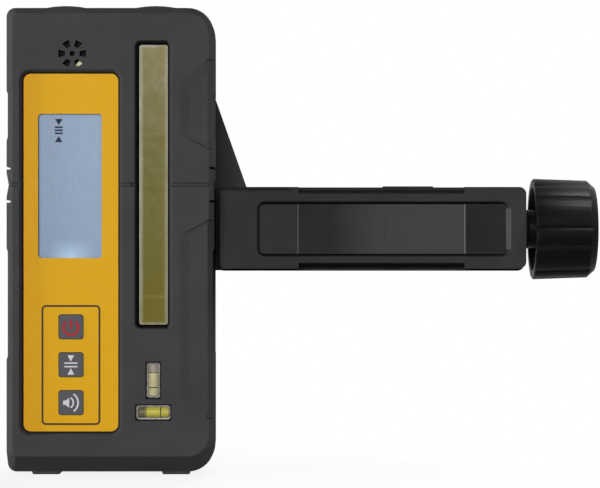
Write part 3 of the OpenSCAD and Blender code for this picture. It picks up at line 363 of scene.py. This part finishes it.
def lens_finish():
    """Clouded amber bar: olive in its middle, where the light guide shows, whitish along its rim, painted partly as
    clouding and partly as highlight, and crossed by a faint line near its lower end."""
    mid, size = extent("receiving_lens")
    half_w, half_h = size.x / 2 - 1.5, size.z / 2 - 1.5
    f = Finish("lens_finish", srgb(117, 109, 28), rough=0.3, specular=0.08)
    f.paint(f.fit(f.axis("Z"), mid.z + 8, mid.z + half_h, 0, 0.85), srgb(152, 140, 92))
    f.paint(f.fit(f.axis("Z"), mid.z - 15, mid.z - half_h, 0, 0.7), srgb(118, 108, 8))
    f.paint(f.fit(f.noise(5, 4.0, (1, 1, 0.3)), 0.45, 0.75, 0, 0.35), srgb(128, 119, 64))
    # Whitish rim, lighter on its left half: painted partly as the lens's clouding and partly as highlight along its
    # edges
    rim = f.math("MAXIMUM", f.fit(f.off("X", mid.x), half_w - 1.7, half_w - 0.2),
                 f.fit(f.off("Z", mid.z), half_h - 1.3, half_h - 0.2))
    ragged = f.fit(f.noise(2.5, 3.0, (1, 1, 0.2)), 0.25, 0.7, 0.3, 1.0)
    clouding_and_highlight = f.mix(f.fit(f.axis("X"), mid.x - 1, mid.x + 1), srgb(170, 168, 150), srgb(148, 145, 124))
    f.paint(f.times(rim, ragged), clouding_and_highlight)
    line = f.times(f.near("Z", mid.z - 40.4, 0.2, fade=0.7), f.near("X", mid.x, half_w - 1.6, fade=0.6))
    f.paint(f.times(line, 0.6), srgb(150, 134, 50))
    f.set("Alpha", f.fit(rim, 0, 1, 0.8, 1.0))
    f.gloss(size=3, spread=0.08)
    f.raise_by(f.noise(1.2, 3.0), 0.02)
    f.relief()
    return f


def guide_finish():
    """Olive bar behind the receiving lens, streaked along its length."""
    f = Finish("guide_finish", srgb(112, 101, 24), rough=0.35, specular=0.3)
    f.paint(f.fit(f.noise(4, 4.0, (1, 1, 0.15)), *NOISE), srgb(96, 88, 22))
    f.gloss(size=3, spread=0.08)
    f.raise_by(f.noise(0.8, 2.0), 0.02)
    f.relief()
    return f


def vial_finish(node):
    """Clear block with whitish, uneven edges, painted as highlight."""
    mid, size = extent(node)
    f = Finish(node + "_finish", srgb(226, 222, 204), rough=0.12, specular=0.3)
    # Whitish, uneven rim: painted highlight along the block's edges
    rim = f.math("MAXIMUM", f.fit(f.off("X", mid.x), size.x / 2 - 0.75, size.x / 2 - 0.25),
                 f.fit(f.off("Z", mid.z), size.z / 2 - 0.75, size.z / 2 - 0.25))
    ragged = f.fit(f.noise(1.4, 3.0), *NOISE, 0.1, 1.0)
    f.set("Alpha", f.fit(f.times(rim, ragged), 0, 1, 0.06, 0.5))
    f.gloss(size=2, spread=0.03)
    return f


def fluid_finish(name, colour, deep):
    """Vial's fluid or bubble, uneven in shade."""
    f = Finish(name, colour, rough=0.25, specular=0.15)
    f.paint(f.fit(f.noise(2.2, 3.0), *NOISE, 0, 0.6), deep)
    f.gloss(size=2, spread=0.05)
    return f


def board_finish():
    """Solder mask over tracks and pads."""
    f = Finish("board_finish", srgb(24, 84, 48), rough=0.4, specular=0.4)
    cells = f.add("TexVoronoi", {"Vector": f.place, "Scale": 1 / (3 * MM)}, feature="DISTANCE_TO_EDGE")
    tracks = f.fit(cells, 0.06, 0.03)
    f.paint(tracks, srgb(44, 118, 66))
    pads = f.add("TexVoronoi", {"Vector": f.place, "Scale": 1 / (2.4 * MM)})
    f.paint(f.fit(pads, 0.16, 0.12), srgb(190, 184, 160))
    f.gloss(size=2, spread=0.06)
    f.raise_by(tracks, 0.03)
    f.relief()
    return f


def battery_finish():
    """Sleeved cell: a dark body, a copper shoulder at the positive end and bare steel caps."""
    mid = extent("batteries")[0]
    shoulder, cap, fade = 10, 24, 0.1
    f = Finish("battery_finish", srgb(40, 41, 46), rough=0.3, specular=0.5)
    f.mottle(size=9, amount=0.06)
    # The two cells lie head to tail, one above the other
    upper = f.fit(f.axis("Z"), mid.z - fade, mid.z + fade, 1, -1)
    towards_cap = f.times(f.math("SUBTRACT", f.axis("X"), mid.x), upper)
    f.paint(f.fit(towards_cap, shoulder - fade, shoulder + fade), srgb(176, 112, 62))
    f.paint(f.fit(f.math("ABSOLUTE", towards_cap), cap - fade, cap + fade), srgb(170, 170, 172))
    f.gloss(size=3, spread=0.05)
    return f


def helix(f, along, across, lead, depth):
    """Screw thread in the relief of a rod along one axis, with painted shade in its grooves. across names the two
    others, with the rod's place.
    """
    turn = f.math("ARCTAN2", *(f.math("SUBTRACT", f.axis(n), at) for n, at in across))
    phase = f.math("ADD", f.math("MULTIPLY", f.axis(along), 2 * math.pi / lead), turn)
    wave = f.fit(f.math("SINE", phase), -0.5, 0.5)
    f.raise_by(wave, depth)
    # Painted shade in the thread's grooves
    f.paint(f.times(f.math("SUBTRACT", 1.0, wave), 0.6), (0.01, 0.01, 0.01, 1))


def spindle_form(f):
    mid = extent("clamp_spindle")[0]
    helix(f, "X", (("Y", mid.y), ("Z", mid.z)), lead=-4, depth=0.5)


def mounting_screw_form(f):
    mid = extent("mounting_screw")[0]
    helix(f, "Y", (("X", mid.x), ("Z", mid.z)), lead=1.27, depth=0.3)


# Finish, width of the rounded edges and CAD nodes
FINISHES = (
    (moulded("case_finish", srgb(67, 67, 69), rough=0.8, specular=0.0, grain=0.4, depth=0.02, shade=0.06,
             form=case_form), 0.25, "front_housing rear_housing battery_door"),
    (moulded("clamp_finish", grey(57), rough=0.6, specular=0.0, grain=0.3, depth=0.016, worn=0.2,
             form=clamp_form), 0.25, "clamp_frame moving_jaw"),
    (moulded("cover_finish", grey(50), rough=0.6, specular=0.0, grain=0.6, depth=0.05, shade=0.12, worn=0.5,
             form=cover_form), 0.12, "arm_cover"),
    (moulded("knob_finish", grey(14), rough=0.4, specular=0.03, grain=0.35, depth=0.01), 0.25,
     "clamp_knob mounting_knob"),
    (overlay_finish(), 0.12, "keypad_overlay"),
    (lcd_finish(), 0, "lcd_panel"),
    (moulded("backlight_finish", srgb(164, 186, 216), rough=0.5, specular=0.1, grain=0.4, depth=0.02), 0.2,
     "lcd_backlight"),
    (moulded("carrier_finish", srgb(226, 228, 228), rough=0.5, specular=0.3, grain=0.4, depth=0.02), 0.2,
     "vial_carrier"),
    (moulded("key_finish", srgb(84, 84, 88), rough=0.65, specular=0.12, grain=0.25, depth=0.015), 0.3,
     "power_key deadband_key volume_key"),
    (moulded("switch_finish", grey(40), rough=0.4, specular=0.4, grain=0.3, depth=0.01), 0.1,
     "key_switches sounder photodiodes"),
    (board_finish(), 0.1, "main_board detector_board"),
    (metal("screw_finish", srgb(172, 173, 178), rough=0.36), 0.1,
     "housing_screws board_screws battery_contacts screw_clip knob_pin door_hinge_pin"),
    (moulded("membrane_finish", grey(30), rough=0.8, specular=0.1, grain=0.12, depth=0.03), 0,
     "sounder_membrane"),
    (lens_finish(), 0.15, "receiving_lens"),
    (guide_finish(), 0.1, "light_guide"),
    *((vial_finish(name), 0.15, name) for name in VIALS),
    (battery_finish(), 0.3, "batteries"),
    (moulded("seal_finish", grey(28), rough=0.7, specular=0.1, grain=0.2, depth=0.02), 0.15,
     "housing_seal door_seal"),
    (metal("insert_finish", srgb(206, 168, 96), rough=0.34, stretch=(1, 0.2, 1)), 0.15, "mount_insert"),
    (moulded("pad_finish", grey(33), rough=0.75, specular=0.1, grain=0.35, depth=0.04, shade=0.15), 0.25,
     "fixed_jaw_pad moving_jaw_pad"),
    (moulded("spindle_finish", srgb(84, 84, 86), rough=0.4, specular=0.3, grain=0.3, depth=0.01,
             form=spindle_form), 0.2, "clamp_spindle"),
    (moulded("bush_finish", grey(14), rough=0.5, specular=0.05, grain=0.3, depth=0.01), 0.2, "spindle_bush"),
    (metal("mounting_screw_finish", srgb(168, 168, 172), rough=0.34, form=mounting_screw_form), 0.2,
     "mounting_screw"),
)


def soften(obj, width):
    """Welds the seams of a solid's mesh and rounds its edges."""
    weld = obj.modifiers.new("weld", "WELD")
    weld.merge_threshold = 0.002 * MM
    bevel = obj.modifiers.new("round", "BEVEL")
    bevel.width = width * MM
    bevel.segments = 2
    bevel.limit_method = "ANGLE"
    bevel.angle_limit = math.radians(35)
    bevel.use_clamp_overlap = True
    bevel.harden_normals = True


for finish, width, names in FINISHES:
    for name in names.split():
        for holder in nodes[name].material_slots:
            holder.material = finish.material
        if width:
            soften(nodes[name], width)


def piece(name, bm, finish, body, smooth=False):
    """Turns a bmesh in millimetres into a piece that rides on a body."""
    bmesh.ops.scale(bm, vec=(MM, MM, MM), verts=bm.verts)
    bmesh.ops.recalc_face_normals(bm, faces=bm.faces)
    for face in bm.faces:
        face.smooth = smooth
    mesh = bpy.data.meshes.new(name)
    bm.to_mesh(mesh)
    bm.free()
    mesh.materials.append(finish.material)
    obj = bpy.data.objects.new(name, mesh)
    scene.collection.objects.link(obj)
    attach(obj, body)
    return obj


def printed(name, cells, y, height, finish, body):
    """Thin mark on a face: cells in X and Z that share their corners, raised from y against +Y."""
    bm = bmesh.new()
    corners = {}

    def corner(x, z):
        key = (round(x, 4), round(z, 4))
        if key not in corners:
            corners[key] = bm.verts.new((x, y, z))
        return corners[key]

    for cell in cells:
        bm.faces.new([corner(x, z) for x, z in cell])
    raised = bmesh.ops.extrude_face_region(bm, geom=bm.faces[:])["geom"]
    top = [g for g in raised if isinstance(g, bmesh.types.BMVert)]
    bmesh.ops.translate(bm, vec=(0, -height, 0), verts=top)
    return piece(name, bm, finish, body)


def ribbon(points, width, closed=False):
    """Cells of a line of even width along points."""
    count = len(points)
    sides = []
    for i, point in enumerate(points):
        here = Vector(point)
        before = Vector(points[i - 1 if i or closed else i])
        after = Vector(points[(i + 1) % count if closed or i < count - 1 else i])
        way = (after - before).normalized()
        turn = Vector((-way.y, way.x)) * width / 2
        sides.append((tuple(here + turn), tuple(here - turn)))
    last = count if closed else count - 1
    ahead = sides[1:] + sides[:1]
    return [(sides[i][0], ahead[i][0], ahead[i][1], sides[i][1]) for i in range(last)]


def arc(x, z, r, start, end, steps):
    """Points along an arc, with its angles in degrees."""
    return [(x + r * math.cos(math.radians(a)), z + r * math.sin(math.radians(a)))
            for a in (start + (end - start) * i / steps for i in range(steps + 1))]


def rounded(x, z, w, h, r):
    """Closed path round a rectangle."""
    path = []
    for sx, sz, start in ((1, 1, 0), (-1, 1, 90), (-1, -1, 180), (1, -1, 270)):
        path += arc(x + sx * (w / 2 - r), z + sz * (h / 2 - r), r, start, start + 90, 6)
    return path


def box(x, z, w, h):
    return [(x - w / 2, z - h / 2), (x + w / 2, z - h / 2), (x + w / 2, z + h / 2), (x - w / 2, z + h / 2)]


def triangle(x, base, tip, half_w):
    return [(x - half_w, base), (x + half_w, base), (x, tip)]


def ink(name, colour):
    """Printed colour, uneven in shade, with a fine grain."""
    f = Finish(name, colour, rough=0.5, specular=0.05)
    f.mottle(size=1.5, amount=0.06)
    f.gloss(size=1, spread=0.05)
    f.raise_by(f.noise(0.2, 2.0), 0.004)
    f.relief()
    return f


# Marks on the overlay, the keys, the display and the sounder: how far their backs lie in the face that carries
# them, and how thick they are. The display's window ends a little before the LCD.
SUNK, INK = 0.01, 0.03
LCD_SUNK, LCD_INK = 0.005, 0.02
GLINT_SUNK, GLINT = 0.005, 0.05
OFF_LCD = 0.05
line_ink, red_ink = ink("line_ink", srgb(74, 56, 40)), ink("red_ink", srgb(164, 48, 54))
white_ink, lcd_ink = ink("white_ink", srgb(206, 206, 208)), ink("lcd_ink", srgb(16, 22, 46))

mid = extent("deadband_key")[0]
printed("keypad_frame", ribbon(rounded(mid.x, mid.z - 0.1, 20.6, 42.7, 1.3), 0.7, closed=True),
        front("keypad_overlay") + SUNK, INK, line_ink, "receiver")

mid = extent("power_key")[0]
printed("power_mark",
        [*ribbon(arc(mid.x, mid.z - 0.25, 2.7, 128, 412, 30), 0.95), box(mid.x, mid.z + 1, 0.95, 3.7)],
        front("power_key") + SUNK, INK, red_ink, "power_key")

mid = extent("deadband_key")[0]
printed("deadband_mark",
        [triangle(mid.x, mid.z + 3.45, mid.z + 1.15, 1.2), triangle(mid.x, mid.z - 3.55, mid.z - 1.2, 1.2),
         box(mid.x, mid.z + 0.62, 4.7, 0.5), box(mid.x, mid.z - 0.68, 4.7, 0.5)],
        front("deadband_key") + SUNK, INK, white_ink, "deadband_key")

mid = extent("volume_key")[0]
x, z = mid.x, mid.z
printed("volume_mark",
        [box(x - 2.35, z, 0.9, 1.5),
         [(x - 1.9, z - 0.75), (x - 0.6, z - 1.8), (x - 0.6, z + 1.8), (x - 1.9, z + 0.75)],
         *ribbon(arc(x - 1.2, z, 2.1, -58, 58, 14), 0.55), *ribbon(arc(x - 1.2, z, 3.8, -55, 55, 18), 0.6)],
        front("volume_key") + SUNK, INK, white_ink, "volume_key")

window_mid, window = extent("display_lens")
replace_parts(printed("display_window", [rounded(window_mid.x, window_mid.z, window.x, window.z, 1.2)],
                    front("lcd_panel") - OFF_LCD, window.y - OFF_LCD, display_finish(), "receiver"), "display_lens")

mid = extent("lcd_panel")[0]
x, z = mid.x - 4.2, mid.z
printed("display_mark",
        [triangle(x, z + 24.3, z + 22.1, 1.4), triangle(x, z + 15.9, z + 18.1, 1.4),
         *(box(x, z + rise, 2.9, 0.6) for rise in (21.3, 20.2, 19.1))],
        front("lcd_panel") + LCD_SUNK, LCD_INK, lcd_ink, "receiver")

mid = extent("sounder")[0]
x, z = mid.x, mid.z
printed("sounder_glint", ribbon([(x + 1.1, z - 4.5), (x + 2.1, z - 3.6), (x + 2.9, z - 2.4)], 1.5),
        front("sounder_membrane") + GLINT_SUNK, GLINT, ink("glint_ink", srgb(242, 238, 190)), "receiver")


def turned(name, profile, origin, axis, finish):
    """Turned piece in a vial. Its profile is (distance along the axis, radius) round X or Z through origin."""
    segments = 32
    bm = bmesh.new()
    rings = []
    for along, r in profile:
        ring = []
        for i in range(segments):
            a = 2 * math.pi * i / segments
            u, v = r * math.cos(a), r * math.sin(a)
            offset = (along, u, v) if axis == "X" else (u, v, along)
            ring.append(bm.verts.new(origin + Vector(offset)))
        rings.append(ring)
    for a, b in zip(rings, rings[1:]):
        for i in range(segments):
            j = (i + 1) % segments
            bm.faces.new((a[i], a[j], b[j], b[i]))
    for ring in (rings[0], rings[-1]):
        bm.faces.new(ring)
    piece(name, bm, finish, "receiver", smooth=True)


def capsule(half, r):
    """Profile of a tube's filling with domed ends."""
    dome, steps, tip_r = 0.6, 8, 0.05
    angles = [math.pi / 2 * (1 - i / steps) for i in range(steps)]
    low = [(-half + dome * (1 - math.sin(a)), r * math.cos(a)) for a in angles]
    low[0] = (low[0][0], tip_r)
    return low + [(-half + dome, r), (half - dome, r)] + [(-a, b) for a, b in reversed(low)]


# Vials: wall of the clear body at the ends, at the sides and in front, place of the bubble and the lines from the
# middle, and how far these two stand out of the fluid
END_WALL, SIDE_WALL, FRONT_WALL = 0.28, 0.42, 0.1
BUBBLE_AT, BUBBLE_PROUD = 2.5, 0.03
LINE_AT, LINE_HALF, LINE_PROUD = 2.65, 0.17, 0.06
ring_ink = ink("ring_ink", srgb(52, 44, 30))
for name, axis, end, tint, deep, air_tint, air_deep in (
        ("upright", "Z", 1, srgb(206, 200, 150), srgb(190, 176, 134), srgb(164, 154, 146), srgb(146, 136, 128)),
        ("cross", "X", -1, srgb(196, 188, 56), srgb(182, 172, 60), srgb(98, 90, 58), srgb(74, 68, 42))):
    at, size = extent(name + "_vial")
    half = max(size.x, size.z) / 2 - END_WALL
    r = min(min(size.x, size.z) / 2 - SIDE_WALL, size.y / 2 - FRONT_WALL)
    turned(name + "_fluid", capsule(half, r), at, axis, fluid_finish(name + "_fluid_finish", tint, deep))
    air = (half + BUBBLE_PROUD - BUBBLE_AT) / 2
    shift = end * (BUBBLE_AT + air)
    turned(name + "_bubble", capsule(air, r + BUBBLE_PROUD),
           at + Vector((shift, 0, 0) if axis == "X" else (0, 0, shift)), axis,
           fluid_finish(name + "_bubble_finish", air_tint, air_deep))
    for side, place in (("low", -LINE_AT), ("high", LINE_AT)):
        low, high, outer = place - LINE_HALF, place + LINE_HALF, r + LINE_PROUD
        turned(f"{name}_line_{side}", [(low, r), (low, outer), (high, outer), (high, r)], at, axis, ring_ink)


# Stage: a pale floor that takes the shadow near the part and turns white further out, and a white world. Both are
# dim for the rays that light the part. Lengths are in metres.
FLOOR_R, SHADOW_R, WHITE_R = 4, 0.06, 0.19
FLOOR_GLOW = 0.85
FLOOR_DIM, WORLD_DIM = 0.15, 0.08


def seen(tree):
    """1 for rays from the camera, a mirror or glass."""
    path = tree.nodes.new("ShaderNodeLightPath")
    both = path.outputs["Is Camera Ray"]
    for name in ("Is Glossy Ray", "Is Transmission Ray"):
        join = tree.nodes.new("ShaderNodeMath")
        join.operation = "MAXIMUM"
        tree.links.new(both, join.inputs[0])
        tree.links.new(path.outputs[name], join.inputs[1])
        both = join.outputs[0]
    return both


bm = bmesh.new()
bmesh.ops.create_circle(bm, cap_ends=True, segments=96, radius=FLOOR_R)
bmesh.ops.translate(bm, vec=(0, 0, cad_box[0].z), verts=bm.verts)
mesh = bpy.data.meshes.new("floor")
bm.to_mesh(mesh)
bm.free()
floor = bpy.data.objects.new("floor", mesh)
scene.collection.objects.link(floor)
ground = Finish("floor_finish", (0.9, 0.9, 0.9, 1), rough=0.9, specular=0.0)
tree = ground.tree
foot = extent("front_housing")[0] * MM
away = ground.add("VectorMath", (ground.place, (foot.x, foot.y, cad_box[0].z)), operation="DISTANCE", out=1)
far = ground.fit(away, SHADOW_R, WHITE_R, FLOOR_GLOW, 1.0)
white = ground.add("Emission", ((1, 1, 1, 1), 1.0))
pale = ground.add("MixShader", (far, ground.shader.outputs[0], white))
dim = ground.add("BsdfDiffuse", ((FLOOR_DIM, FLOOR_DIM, FLOOR_DIM, 1),))
shown = ground.add("MixShader", (seen(tree), dim, pale))
tree.links.new(shown, tree.nodes["Material Output"].inputs["Surface"])
mesh.materials.append(ground.material)

world = bpy.data.worlds.new("studio")
scene.world = world
world.use_nodes = True
tree = world.node_tree
level = tree.nodes.new("ShaderNodeMapRange")
level.inputs["To Min"].default_value = WORLD_DIM
tree.links.new(seen(tree), level.inputs["Value"])
backdrop = tree.nodes["Background"]
backdrop.inputs["Color"].default_value = (1, 1, 1, 1)
tree.links.new(level.outputs[0], backdrop.inputs["Strength"])


def softbox(name, at, aim, size, power, spread=180, glossy=True):
    """Area lamp that faces a place, in metres, watts and degrees. glossy says whether reflections show it."""
    lamp = bpy.data.lights.new(name, "AREA")
    lamp.shape = "RECTANGLE"
    lamp.size, lamp.size_y = size
    lamp.energy = power
    lamp.spread = math.radians(spread)
    obj = bpy.data.objects.new(name, lamp)
    obj.location = at
    obj.rotation_euler = (Vector(aim) - Vector(at)).to_track_quat("-Z", "Y").to_euler()
    obj.visible_glossy = glossy
    scene.collection.objects.link(obj)


AIM = (0, 0, -0.02)
softbox("key_light", (-0.17, -1.2, 0.13), AIM, (0.7, 0.2), power=11)
softbox("side_light", (-1.2, -0.16, 0.04), AIM, (0.5, 0.5), power=17)
softbox("back_light", (0.15, 1.05, 0.5), AIM, (0.7, 0.5), power=16, glossy=False)
softbox("right_light", (1.15, 0.45, 0.15), AIM, (0.5, 0.5), power=8, glossy=False)
softbox("knob_light", (0.19, -0.08, 0.2), (extent("clamp_knob")[0] + Vector((6, 0, 6))) * MM, (0.02, 0.02),
        power=0.016, spread=9)

# Camera square to the front of the case, as in the photo
camera = bpy.data.objects.new("camera", bpy.data.cameras.new("camera"))
camera.location = (0.0139, -0.851, -0.0209)
camera.rotation_euler = (math.pi / 2, 0, 0)
camera.data.sensor_width = 36
camera.data.lens = 136.5
scene.collection.objects.link(camera)
scene.camera = camera
